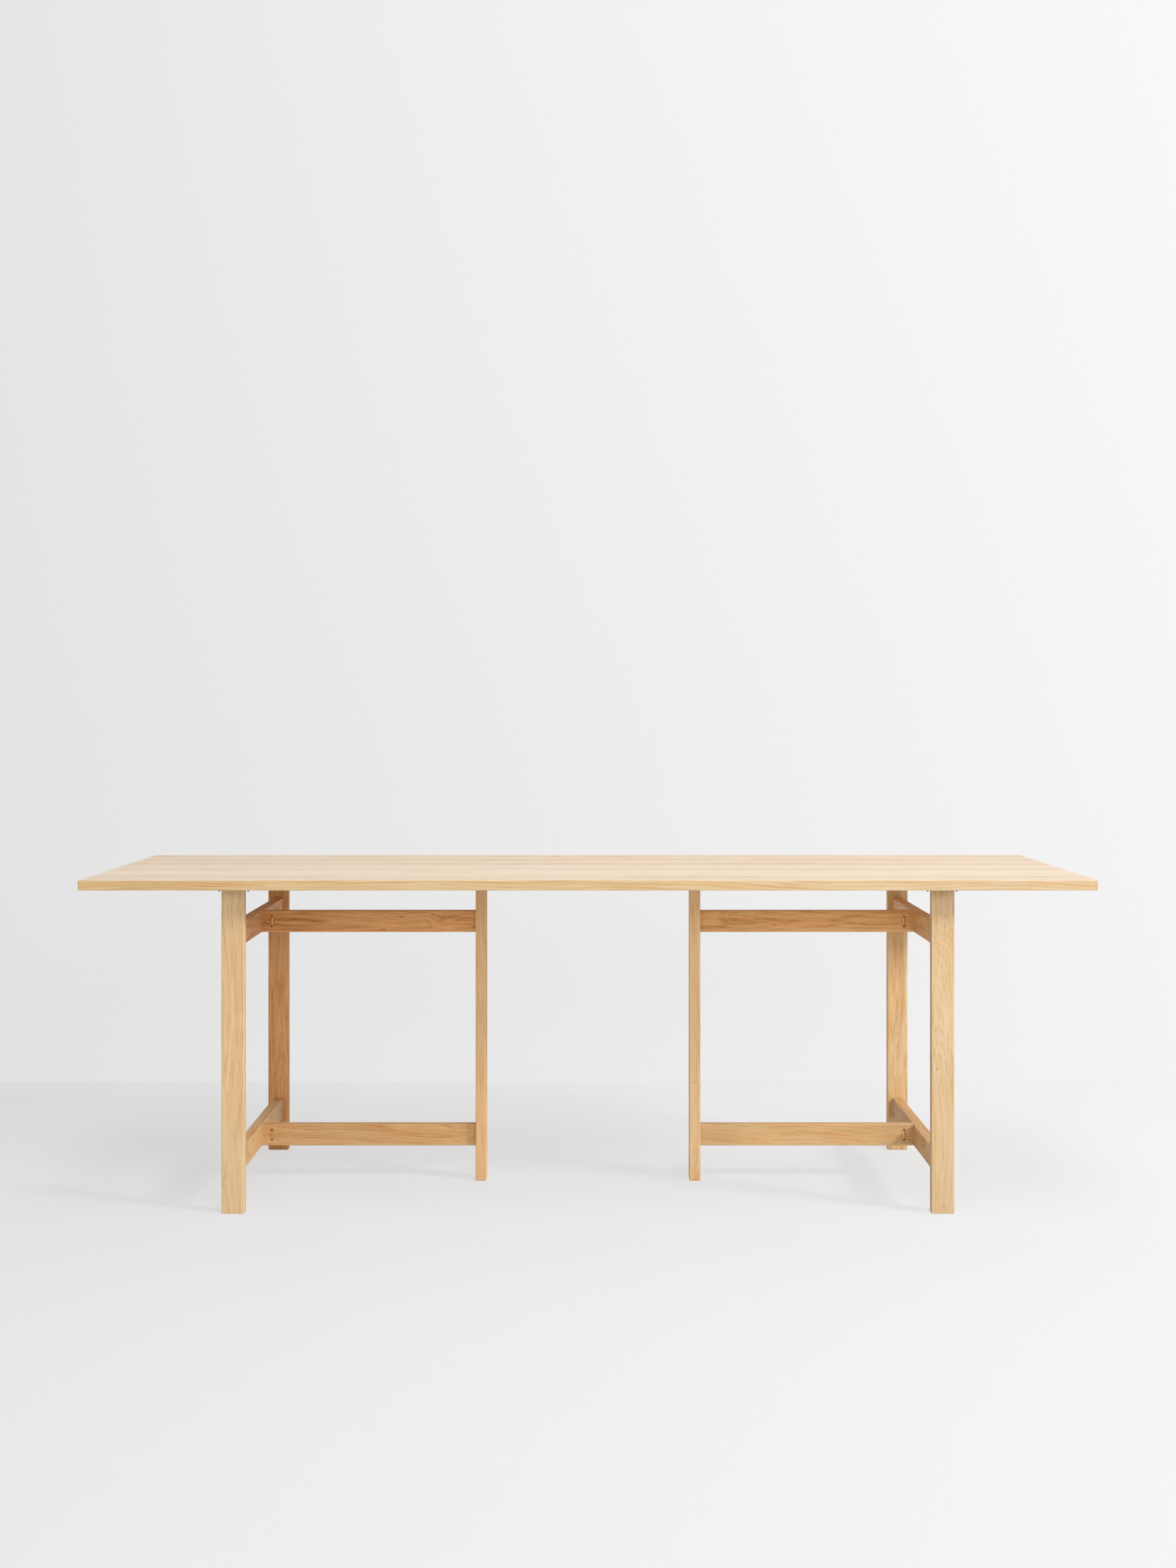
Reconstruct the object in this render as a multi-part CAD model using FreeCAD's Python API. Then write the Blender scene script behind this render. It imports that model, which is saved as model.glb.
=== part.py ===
import FreeCAD, Part
import math
import os

# Trestle dining table in solid oak, in millimetres.
# X runs along the table, -Y is the front, Z is up from the floor under the middle of the top.

# Whole table
table_height = 732.0

# Top of edge-glued boards, which lies loose on the two trestles
top_length = 2200.0
top_width = 800.0
top_thickness = 22.0
top_edge_round = 1.5
board_count = 5

# Trestles: three legs each, joined in a T by cross rails and spine rails
end_overhang = 300.0        # end of the top to the outer side of the end legs
side_inset = 55.0           # long edge of the top to the front of the front legs
inner_leg_gap = 475.0       # clear between the two inner legs
leg_width = 50.0
leg_thickness = 25.0
rail_height = 50.0
rail_thickness = 25.0
foot_gap = 80.0             # floor to the lower rails
head_gap = 80.0             # upper rails to the underside of the top
timber_edge_round = 2.0

# Loose tenons glued between rails and legs
tenon_thickness = 8.0
tenon_shoulder = 10.0       # rail left above and below a tenon
tenon_clearance = 0.1
mortise_wall = 10.5         # wood left behind a mortise or a dowel hole
glue_room = 0.5             # past the end of a tenon, a dowel or a bolt

# Knock-down joint of a spine rail to a cross rail: bolt, washer and a brass nut bar across the rail
bolt_diameter = 5.0
bolt_head_diameter = 8.5
bolt_head_height = 5.0
bolt_head_round = 0.5
bolt_socket_width = 4.0
bolt_socket_depth = 2.5
socket_sides = 6
bolt_past_nut = 3.0         # beyond the far side of the nut
bolt_hole_clearance = 0.25
washer_diameter = 11.0
washer_thickness = 1.0
washer_hole_clearance = 0.2
counterbore_clearance = 0.5
nut_width = 6.0
nut_height = 20.0
nut_face_setback = 0.6      # face of the spine rail to the nose of the nut
nut_end_chamfer = 0.6
nut_setback = 22.0          # end of the spine rail to the middle of the nut
nut_clearance = 0.2
nut_pocket_depth = 8.0      # in each face, with a half-round end open above and below the nut
thread_clearance = 0.05

# Alignment dowels above and below each bolt
dowel_diameter = 8.0
dowel_end_chamfer = 1.0
dowel_clearance = 0.1
dowel_nut_wall = 4.0        # wood left between a dowel hole and the nut's slot
dowel_rise_share = 0.32     # height above or below the bolt, of the rail's height

# Locating pins under the top, on both sides of each end leg's head
pin_diameter = 3.5
pin_drop = 8.0              # below the top
pin_tip_round = 1.0
pin_cover = 8.0             # wood left above a pin
pin_clearance = 0.05
pin_leg_gap = 5.0           # side of the leg to the side of the pin

# Shared by all cuts
cut_overrun = 1.0
parallel_tolerance = 1e-6
half_turn_degrees = 180

# Places that follow from the sizes, for the trestle on the right
origin = FreeCAD.Vector(0, 0, 0)
along_x = FreeCAD.Vector(1, 0, 0)
along_y = FreeCAD.Vector(0, 1, 0)
up = FreeCAD.Vector(0, 0, 1)
leg_length = table_height - top_thickness
end_leg_x = top_length / 2 - end_overhang - leg_width / 2
end_leg_y = top_width / 2 - side_inset - leg_thickness / 2
cross_rail_end_y = end_leg_y - leg_thickness / 2
cross_rail_outer_x = end_leg_x + rail_thickness / 2
spine_outer_x = end_leg_x - rail_thickness / 2
spine_inner_x = inner_leg_gap / 2 + leg_thickness
inner_leg_x = inner_leg_gap / 2 + leg_thickness / 2
rail_levels = {
    "lower": foot_gap + rail_height / 2,
    "upper": leg_length - head_gap - rail_height / 2,
}
tenon_depth = leg_thickness - mortise_wall - glue_room
tenon_height = rail_height - 2 * tenon_shoulder
nut_x = spine_outer_x - nut_setback
nut_slot_width = nut_width + 2 * nut_clearance
nut_slot_height = nut_height + 2 * nut_clearance
nut_pocket_height = nut_slot_height + nut_slot_width
washer_inner_x = cross_rail_outer_x - bolt_head_height - washer_thickness
washer_outer_x = washer_inner_x + washer_thickness
bolt_tip_x = nut_x - nut_width / 2 - bolt_past_nut
dowel_rise = dowel_rise_share * rail_height
dowel_outer_x = cross_rail_outer_x - mortise_wall - glue_room
dowel_inner_x = nut_x + nut_slot_width / 2 + dowel_nut_wall + glue_room
pin_offset = leg_width / 2 + pin_leg_gap + pin_diameter / 2
pin_top_z = table_height - pin_cover


def block(centre, size):
    corner = centre - size / 2
    return Part.makeBox(size.x, size.y, size.z, corner)


def runs_along(edge, direction):
    start, end = [vertex.Point for vertex in edge.Vertexes]
    return (end - start).cross(direction).Length < parallel_tolerance * edge.Length


# Squared timber with its long edges rounded; a leg's foot is rounded too
def timber(centre, size, grain, stands=False):
    blank = block(centre, size)
    edges = []
    for edge in blank.Edges:
        at_foot = stands and edge.BoundBox.ZMax < timber_edge_round
        if runs_along(edge, grain) or at_foot:
            edges.append(edge)
    return blank.makeFillet(timber_edge_round, edges)


# Round rod from one point to another
def rod(start, end, diameter):
    reach = end - start
    return Part.makeCylinder(diameter / 2, reach.Length, start, reach)


# Upright rounded bar, as a router leaves it: half-round at the top and the bottom
def routed_bar(centre, width, height, direction, length):
    radius = width / 2
    side = direction.cross(up) * radius
    rise = up * (height / 2 - radius)
    start = centre - direction * (length / 2)
    crown = start + up * (height / 2)
    keel = start - up * (height / 2)
    outline = [
        Part.LineSegment(start + side - rise, start + side + rise),
        Part.Arc(start + side + rise, crown, start - side + rise),
        Part.LineSegment(start - side + rise, start - side - rise),
        Part.Arc(start - side - rise, keel, start + side - rise),
    ]
    wire = Part.Wire([curve.toShape() for curve in outline])
    return Part.Face(wire).extrude(direction * length)


# Loose tenon between two timbers that meet at a joint, or the mortise that takes it
def tenon(joint, direction):
    return routed_bar(joint, tenon_thickness, tenon_height, direction, 2 * tenon_depth)


def mortise(joint, direction):
    width = tenon_thickness + 2 * tenon_clearance
    height = tenon_height + 2 * tenon_clearance
    depth = tenon_depth + glue_room
    return routed_bar(joint, width, height, direction, 2 * depth)


def cross_rail_joints():
    return [FreeCAD.Vector(end_leg_x, side * cross_rail_end_y, level)
            for level in rail_levels.values() for side in (-1, 1)]


def spine_rail_joints():
    return [FreeCAD.Vector(spine_inner_x, 0, level) for level in rail_levels.values()]


def dowel_heights():
    return [level + side * dowel_rise for level in rail_levels.values() for side in (-1, 1)]


# Socket-head bolt that draws the spine rail onto the cross rail
def joint_bolt(level):
    head_start = FreeCAD.Vector(washer_outer_x, 0, level)
    head_end = FreeCAD.Vector(cross_rail_outer_x, 0, level)
    head = rod(head_start, head_end, bolt_head_diameter)
    rim = [edge for edge in head.Edges if edge.BoundBox.XMin > washer_outer_x]
    head = head.makeFillet(bolt_head_round, rim)
    shank = rod(head_start, FreeCAD.Vector(bolt_tip_x, 0, level), bolt_diameter)
    socket_reach = bolt_socket_width / 2 / math.cos(math.pi / socket_sides)
    corners = []
    for corner in range(socket_sides):
        turn = 2 * math.pi * corner / socket_sides
        corners.append(head_end + (along_y * math.cos(turn) + up * math.sin(turn)) * socket_reach)
    socket_mouth = Part.Face(Part.makePolygon(corners + corners[:1]))
    socket = socket_mouth.extrude(along_x * -bolt_socket_depth)
    return head.fuse(shank).removeSplitter().cut(socket)


def bolt_washer(level):
    inner = FreeCAD.Vector(washer_inner_x, 0, level)
    outer = FreeCAD.Vector(washer_outer_x, 0, level)
    hole = rod(inner, outer, bolt_diameter + 2 * washer_hole_clearance)
    return rod(inner, outer, washer_diameter).cut(hole)


# Brass bar with a round nose at the front and the rear, and a cross hole for the bolt
def nut_bar(level):
    centre = FreeCAD.Vector(nut_x, 0, level)
    base = centre - up * (nut_height / 2)
    nose_y = rail_thickness / 2 - nut_face_setback - nut_width / 2
    blank = block(centre, FreeCAD.Vector(nut_width, 2 * nose_y, nut_height))
    noses = []
    for side in (-1, 1):
        foot = base + along_y * (side * nose_y)
        noses.append(rod(foot, foot + up * nut_height, nut_width))
    blank = blank.fuse(noses).removeSplitter()
    rims = [edge for edge in blank.Edges if edge.BoundBox.ZLength < nut_end_chamfer]
    blank = blank.makeChamfer(nut_end_chamfer, rims)
    half_hole = along_x * (nut_width / 2 + cut_overrun)
    hole = rod(centre - half_hole, centre + half_hole, bolt_diameter + 2 * thread_clearance)
    return blank.cut(hole)


def alignment_dowel(height):
    start = FreeCAD.Vector(dowel_inner_x, 0, height)
    end = FreeCAD.Vector(dowel_outer_x, 0, height)
    blank = rod(start, end, dowel_diameter)
    rims = [edge for edge in blank.Edges if edge.BoundBox.XLength < dowel_end_chamfer]
    return blank.makeChamfer(dowel_end_chamfer, rims)


# Everything that is drilled or routed out for the knock-down joint at one level
def knock_down_cuts(level):
    outside = FreeCAD.Vector(cross_rail_outer_x + cut_overrun, 0, level)
    seat = FreeCAD.Vector(washer_inner_x, 0, level)
    bolt_end = FreeCAD.Vector(bolt_tip_x - glue_room, 0, level)
    nut_centre = FreeCAD.Vector(nut_x, 0, level)
    nut_slot_length = rail_thickness + 2 * cut_overrun
    cuts = [
        rod(seat, outside, washer_diameter + 2 * counterbore_clearance),
        rod(bolt_end, outside, bolt_diameter + 2 * bolt_hole_clearance),
        block(nut_centre, FreeCAD.Vector(nut_slot_width, nut_slot_length, nut_slot_height)),
    ]
    for side in (-1, 1):
        mouth = nut_centre + along_y * (side * rail_thickness / 2)
        pocket = routed_bar(mouth, nut_slot_width, nut_pocket_height, along_y, 2 * nut_pocket_depth)
        cuts.append(pocket)
        height = level + side * dowel_rise
        start = FreeCAD.Vector(dowel_inner_x - glue_room, 0, height)
        end = FreeCAD.Vector(dowel_outer_x + glue_room, 0, height)
        cuts.append(rod(start, end, dowel_diameter + 2 * dowel_clearance))
    return cuts


def end_leg(side):
    centre = FreeCAD.Vector(end_leg_x, side * end_leg_y, leg_length / 2)
    size = FreeCAD.Vector(leg_width, leg_thickness, leg_length)
    mortises = [mortise(joint, along_y) for joint in cross_rail_joints()]
    return timber(centre, size, up, stands=True).cut(mortises)


def inner_leg():
    centre = FreeCAD.Vector(inner_leg_x, 0, leg_length / 2)
    size = FreeCAD.Vector(leg_thickness, leg_width, leg_length)
    mortises = [mortise(joint, along_x) for joint in spine_rail_joints()]
    return timber(centre, size, up, stands=True).cut(mortises)


def cross_rail(level):
    centre = FreeCAD.Vector(end_leg_x, 0, level)
    size = FreeCAD.Vector(rail_thickness, 2 * cross_rail_end_y, rail_height)
    mortises = [mortise(joint, along_y) for joint in cross_rail_joints()]
    return timber(centre, size, along_y).cut(mortises + knock_down_cuts(level))


def spine_rail(level):
    centre = FreeCAD.Vector((spine_inner_x + spine_outer_x) / 2, 0, level)
    size = FreeCAD.Vector(spine_outer_x - spine_inner_x, rail_thickness, rail_height)
    mortises = [mortise(joint, along_x) for joint in spine_rail_joints()]
    return timber(centre, size, along_x).cut(mortises + knock_down_cuts(level))


def right_trestle():
    levels = rail_levels.values()
    pieces = {
        "front_leg": end_leg(-1),
        "rear_leg": end_leg(1),
        "inner_leg": inner_leg(),
        "cross_rail_tenons": Part.makeCompound([tenon(joint, along_y) for joint in cross_rail_joints()]),
        "spine_rail_tenons": Part.makeCompound([tenon(joint, along_x) for joint in spine_rail_joints()]),
        "alignment_dowels": Part.makeCompound([alignment_dowel(height) for height in dowel_heights()]),
        "nut_bars": Part.makeCompound([nut_bar(level) for level in levels]),
        "joint_bolts": Part.makeCompound([joint_bolt(level) for level in levels]),
        "bolt_washers": Part.makeCompound([bolt_washer(level) for level in levels]),
    }
    for name, level in rail_levels.items():
        pieces[name + "_cross_rail"] = cross_rail(level)
        pieces[name + "_spine_rail"] = spine_rail(level)
    return pieces


# The left trestle is the same one turned half round, so its front leg is at the rear
def turned(shape):
    copy = shape.copy()
    copy.rotate(origin, up, half_turn_degrees)
    return copy


def pin_places():
    return [(end * end_leg_x + side * pin_offset, row * end_leg_y)
            for end in (-1, 1) for row in (-1, 1) for side in (-1, 1)]


def locating_pin(x, y):
    tip = FreeCAD.Vector(x, y, leg_length - pin_drop)
    pin = rod(tip, FreeCAD.Vector(x, y, pin_top_z), pin_diameter)
    rim = [edge for edge in pin.Edges if edge.BoundBox.ZMax < leg_length]
    return pin.makeFillet(pin_tip_round, rim)


def pin_hole(x, y):
    mouth = FreeCAD.Vector(x, y, leg_length - cut_overrun)
    return rod(mouth, FreeCAD.Vector(x, y, pin_top_z), pin_diameter + 2 * pin_clearance)


# The whole top with its outer edges eased, sawn into its boards from front to rear
def table_top():
    centre = FreeCAD.Vector(0, 0, table_height - top_thickness / 2)
    blank = block(centre, FreeCAD.Vector(top_length, top_width, top_thickness))
    blank = blank.makeFillet(top_edge_round, blank.Edges)
    blank = blank.cut([pin_hole(x, y) for x, y in pin_places()])
    board_width = top_width / board_count
    strip = FreeCAD.Vector(top_length, board_width, top_thickness)
    pieces = {}
    for index in range(board_count):
        board_y = (index + 1 / 2) * board_width - top_width / 2
        board = blank.common(block(centre + along_y * board_y, strip))
        pieces["top_board_" + str(index + 1)] = board
    pieces["locating_pins"] = Part.makeCompound([locating_pin(x, y) for x, y in pin_places()])
    return pieces


def save(name, shape):
    shape.exportStep("parts/" + name + ".step")
    print(name, "solids:", len(shape.Solids), "valid:", shape.isValid())


os.makedirs("parts", exist_ok=True)
turned_names = {"front_leg": "rear_leg", "rear_leg": "front_leg"}
for name, shape in table_top().items():
    save(name, shape)
for name, shape in right_trestle().items():
    save("right_" + name, shape)
    save("left_" + turned_names.get(name, name), turned(shape))
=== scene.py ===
import math
import bmesh
import bpy
from mathutils import Euler, Matrix, Vector


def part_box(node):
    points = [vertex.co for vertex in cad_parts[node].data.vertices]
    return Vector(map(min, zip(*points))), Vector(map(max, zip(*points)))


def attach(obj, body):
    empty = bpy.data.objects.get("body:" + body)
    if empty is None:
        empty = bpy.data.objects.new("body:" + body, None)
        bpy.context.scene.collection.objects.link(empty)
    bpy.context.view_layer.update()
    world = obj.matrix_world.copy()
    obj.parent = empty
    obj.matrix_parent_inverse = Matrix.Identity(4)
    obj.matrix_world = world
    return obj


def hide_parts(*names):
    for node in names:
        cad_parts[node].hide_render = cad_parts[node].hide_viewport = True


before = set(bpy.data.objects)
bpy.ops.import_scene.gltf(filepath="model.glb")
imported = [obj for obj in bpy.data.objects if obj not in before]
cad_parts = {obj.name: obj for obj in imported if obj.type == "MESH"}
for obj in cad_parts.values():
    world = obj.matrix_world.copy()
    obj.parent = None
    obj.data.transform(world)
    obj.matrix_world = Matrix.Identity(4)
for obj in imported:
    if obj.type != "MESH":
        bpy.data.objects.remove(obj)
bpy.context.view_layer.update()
scene = bpy.context.scene
mm = 0.001
print("frame loaded,", len(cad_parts), "nodes")


def linear(hexColour):  # sRGB hex to linear RGBA
    parts = [int(hexColour[i:i + 2], 16) / 255 for i in (1, 3, 5)]
    return [c / 12.92 if c <= 0.04045 else ((c + 0.055) / 1.055) ** 2.4 for c in parts] + [1.0]


def addNode(tree, kind, feeds=None, stops=(), **settings):  # feeds are plain values, or sockets to link
    node = tree.nodes.new(kind)
    for key, value in settings.items():
        setattr(node, key, value)
    for key, value in (feeds or {}).items():
        if isinstance(value, bpy.types.NodeSocket):
            tree.links.new(value, node.inputs[key])
        else:
            node.inputs[key].default_value = value
    for index, (position, colour) in enumerate(stops):  # of a colour ramp, its two ends first
        elements = node.color_ramp.elements
        element = elements[index] if index < 2 else elements.new(position)
        element.position, element.color = position, colour
    return node


def newMaterial(name):
    material = bpy.data.materials.new(name)
    material.use_nodes = True
    material.node_tree.nodes.clear()
    return material, material.node_tree


def newGroup(name, kind, given, made):  # a node tree with named inputs and outputs
    tree = bpy.data.node_groups.new(name, kind)
    for label, sort in given.items():
        tree.interface.new_socket(label, in_out="INPUT", socket_type="NodeSocket" + sort)
    for label, sort in made.items():
        tree.interface.new_socket(label, in_out="OUTPUT", socket_type="NodeSocket" + sort)
    return tree, tree.nodes.new("NodeGroupInput").outputs, tree.nodes.new("NodeGroupOutput").inputs


def dress(node, material):
    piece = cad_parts[node]
    piece.data.materials.clear()
    piece.data.materials.append(material)


def wholeBox(*nodes):
    boxes = [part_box(node) for node in nodes]
    return (Vector(min(low[i] for low, high in boxes) for i in range(3)),
            Vector(max(high[i] for low, high in boxes) for i in range(3)))


# Oak figure: growth rings round a pith line that sways, cut open by the faces of each timber.
# Grain space is in millimetres: x across the face, y through the timber, z along the grain.
oakSizes = {
    "swayMm": (150, 560), "curlMm": (26, 230), "curlDepthMm": 7, "bandMm": 13,
    "fadeMm": (20, 240), "fibreMm": (4.2, 95), "cloudMm": (60, 300), "blushMm": (14, 420),
    "poreMm": (1.3, 16),  # real pores are 0.3 mm wide, drawn coarser so that they show
}
oakDetails = {"sway": 1.0, "curl": 2.0, "cloud": 1.0, "blush": 2.0, "fade": 1.0, "fibre": 4.0, "pore": 1.0}
oakShares = {"ring": 0.2, "year": 0.3, "fibre": 0.72, "cloud": 0.3, "pore": 0.2}  # of the figure's contrast
oakUsual = {"year": 0.5, "cloud": 0.5, "pore": 0.06}  # middle values, which leave the body tone as it is
oakRing = {
    "profile": ((0.0, 0.5), (1.0, 0.5), (0.1, 1.0), (0.32, 0.3), (0.65, 0.0)),  # early wood is darkest
    "middle": 0.25, "fadeFrom": (0.35, 0.65), "fadeLeast": 0.3,
    "poreFrom": (0.6, 0.74),
    "earlyPart": (0.5, 0.1), "earlyShare": (0.25, 1.0),  # most pores lie in early wood
}
endGrain = {
    "ring": 0.3, "fibre": -0.5, "tone": 0.1,  # added to those of the figure on sawn ends
    "squareFrom": (0.6, 0.8),  # how squarely a face cuts the grain
}


def buildOakFigure():
    tree, given, made = newGroup(
        "oakFigure", "ShaderNodeTree",
        {"Grain": "Vector", "Ring mm": "Float", "Taper": "Float", "Sway mm": "Float", "Lift mm": "Float",
         "Knot": "Float", "Strength": "Float", "Line": "Float", "End": "Float"},
        {"Depth": "Float", "Pore": "Float", "Blush": "Float", "Across mm": "Float"})
    noises = {}
    source = given["Grain"]
    for name, detail in oakDetails.items():
        across, along = oakSizes[name + "Mm"]
        scale = (1 / across, 1 / across, 1 / along)
        stretched = addNode(tree, "ShaderNodeVectorMath", {0: source, 1: scale}, operation="MULTIPLY")
        noises[name] = addNode(tree, "ShaderNodeTexNoise", {"Vector": stretched.outputs[0], "Scale": 1.0,
                                                            "Detail": detail, "Roughness": 0.6}).outputs
        if name in ("sway", "curl"):  # these two bend the grain for all that follow
            shift = addNode(tree, "ShaderNodeVectorMath", {0: noises[name]["Color"], 1: (0.5, 0.5, 0.5)},
                            operation="SUBTRACT")
            amount = given["Sway mm"] if name == "sway" else oakSizes["curlDepthMm"]
            scaled = addNode(tree, "ShaderNodeVectorMath", {0: shift.outputs[0], "Scale": amount},
                             operation="SCALE")
            source = addNode(tree, "ShaderNodeVectorMath", {0: source, 1: scaled.outputs[0]},
                             operation="ADD").outputs[0]
    flat = addNode(tree, "ShaderNodeVectorMath", {0: source, 1: (1, 1, 0)}, operation="MULTIPLY")
    radius = addNode(tree, "ShaderNodeVectorMath", {0: flat.outputs[0]}, operation="LENGTH")
    bent = addNode(tree, "ShaderNodeSeparateXYZ", {0: source}).outputs
    cone = addNode(tree, "ShaderNodeMath", {0: bent["Z"], 1: given["Taper"], 2: radius.outputs["Value"]},
                   operation="MULTIPLY_ADD")
    lifted = addNode(tree, "ShaderNodeMath", {0: cone.outputs[0], 1: given["Lift mm"]}, operation="ADD")
    rings = addNode(tree, "ShaderNodeMath", {0: lifted.outputs[0], 1: given["Ring mm"]}, operation="DIVIDE")
    ringPart = addNode(tree, "ShaderNodeMath", {0: rings.outputs[0]}, operation="FRACT")
    profile = addNode(tree, "ShaderNodeValToRGB", {"Fac": ringPart.outputs[0]},
                      stops=[(at, (v, v, v, 1)) for at, v in oakRing["profile"]])
    least, most = oakRing["fadeFrom"]
    fade = addNode(tree, "ShaderNodeMapRange", {"Value": noises["fade"]["Fac"], "From Min": least,
                                                "From Max": most, "To Min": oakRing["fadeLeast"]})
    ringTone = addNode(tree, "ShaderNodeMath",
                       {0: profile.outputs["Color"], 1: fade.outputs[0], 2: -oakRing["middle"]},
                       operation="MULTIPLY_ADD")
    years = addNode(tree, "ShaderNodeMath", {0: lifted.outputs[0], 1: oakSizes["bandMm"]},
                    operation="DIVIDE")
    band = addNode(tree, "ShaderNodeTexNoise", {"W": years.outputs[0], "Scale": 1.0, "Detail": 2.0},
                   noise_dimensions="1D")
    least, most = oakRing["poreFrom"]
    vessel = addNode(tree, "ShaderNodeMapRange",
                     {"Value": noises["pore"]["Fac"], "From Min": least, "From Max": most})
    latest, earliest = oakRing["earlyPart"]
    fewest, fullest = oakRing["earlyShare"]
    early = addNode(tree, "ShaderNodeMapRange", {"Value": ringPart.outputs[0], "From Min": latest,
                                                 "From Max": earliest, "To Min": fewest, "To Max": fullest})
    pore = addNode(tree, "ShaderNodeMath", {0: vessel.outputs[0], 1: early.outputs[0]},
                   operation="MULTIPLY")
    fibreTone = addNode(tree, "ShaderNodeMath", {0: noises["fibre"]["Fac"], 1: 0.5}, operation="SUBTRACT")
    line = addNode(tree, "ShaderNodeMath", {0: given["Line"], 1: oakShares["ring"]}, operation="MULTIPLY")
    ringShare = addNode(tree, "ShaderNodeMath", {0: given["End"], 1: endGrain["ring"], 2: line.outputs[0]},
                        operation="MULTIPLY_ADD")
    fibreShare = addNode(tree, "ShaderNodeMath",
                         {0: given["End"], 1: endGrain["fibre"], 2: oakShares["fibre"]},
                         operation="MULTIPLY_ADD")
    parts = ((ringTone.outputs[0], ringShare.outputs[0]),
             (fibreTone.outputs[0], fibreShare.outputs[0]),
             (band.outputs["Fac"], oakShares["year"]),
             (noises["cloud"]["Fac"], oakShares["cloud"]),
             (pore.outputs[0], oakShares["pore"]))
    contrast = -sum(usual * oakShares[name] for name, usual in oakUsual.items())
    for feed, share in parts:
        contrast = addNode(tree, "ShaderNodeMath", {0: feed, 1: share, 2: contrast},
                           operation="MULTIPLY_ADD").outputs[0]
    level = addNode(tree, "ShaderNodeMath", {0: given["Knot"], 1: 0.5}, operation="ADD")
    endLevel = addNode(tree, "ShaderNodeMath", {0: given["End"], 1: endGrain["tone"], 2: level.outputs[0]},
                       operation="MULTIPLY_ADD")
    depth = addNode(tree, "ShaderNodeMath", {0: contrast, 1: given["Strength"], 2: endLevel.outputs[0]},
                    operation="MULTIPLY_ADD")
    tree.links.new(depth.outputs[0], made["Depth"])
    tree.links.new(pore.outputs[0], made["Pore"])
    tree.links.new(noises["blush"]["Fac"], made["Blush"])
    tree.links.new(bent["X"], made["Across mm"])
    return tree


# A knot: a ragged branch stub through the timber, which lifts the rings round it into ovals
knotSizes = {"raggedMm": (7, 7, 18), "raggedFrom": (0.3, 0.7), "raggedShare": (0.6, 1.5),
             "oval": (1, 0.1, 0.42), "liftShare": 0.3}


def buildOakKnot():
    tree, given, made = newGroup(
        "oakKnot", "ShaderNodeTree",
        {"Grain": "Vector", "Place": "Vector", "Reach mm": "Float", "Core mm": "Float",
         "Core depth": "Float", "Lift mm": "Float", "Knot": "Float"}, {"Lift": "Float", "Dark": "Float"})
    away = addNode(tree, "ShaderNodeVectorMath", {0: given["Grain"], 1: given["Place"]},
                   operation="SUBTRACT")
    oval = addNode(tree, "ShaderNodeVectorMath", {0: away.outputs[0], 1: knotSizes["oval"]},
                   operation="MULTIPLY")
    distance = addNode(tree, "ShaderNodeVectorMath", {0: oval.outputs[0]},
                       operation="LENGTH").outputs["Value"]
    scale = [1 / size for size in knotSizes["raggedMm"]]
    grit = addNode(tree, "ShaderNodeVectorMath", {0: given["Grain"], 1: scale}, operation="MULTIPLY")
    ragged = addNode(tree, "ShaderNodeTexNoise", {"Vector": grit.outputs[0], "Scale": 1.0, "Detail": 2.0})
    least, most = knotSizes["raggedFrom"]
    narrow, wide = knotSizes["raggedShare"]
    swell = addNode(tree, "ShaderNodeMapRange", {"Value": ragged.outputs["Fac"], "From Min": least,
                                                 "From Max": most, "To Min": narrow, "To Max": wide})
    gap = addNode(tree, "ShaderNodeMath", {0: distance, 1: swell.outputs[0]}, operation="MULTIPLY")
    pull = addNode(tree, "ShaderNodeMapRange",
                   {"Value": distance, "From Min": given["Reach mm"], "From Max": 0.0},
                   interpolation_type="SMOOTHERSTEP")
    rise = addNode(tree, "ShaderNodeMath", {0: pull.outputs[0], 1: given["Reach mm"]}, operation="MULTIPLY")
    lift = addNode(tree, "ShaderNodeMath",
                   {0: rise.outputs[0], 1: knotSizes["liftShare"], 2: given["Lift mm"]},
                   operation="MULTIPLY_ADD")
    core = addNode(tree, "ShaderNodeMapRange",
                   {"Value": gap.outputs[0], "From Min": given["Core mm"], "From Max": 0.0},
                   interpolation_type="SMOOTHSTEP")
    dark = addNode(tree, "ShaderNodeMath", {0: core.outputs[0], 1: given["Core depth"], 2: given["Knot"]},
                   operation="MULTIPLY_ADD")
    tree.links.new(lift.outputs[0], made["Lift"])
    tree.links.new(dark.outputs[0], made["Dark"])
    return tree


# Arrises: 1 along the edges of a timber, where hands have rubbed it
arrisMm = {"start": 3.2, "full": 0.6}


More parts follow.
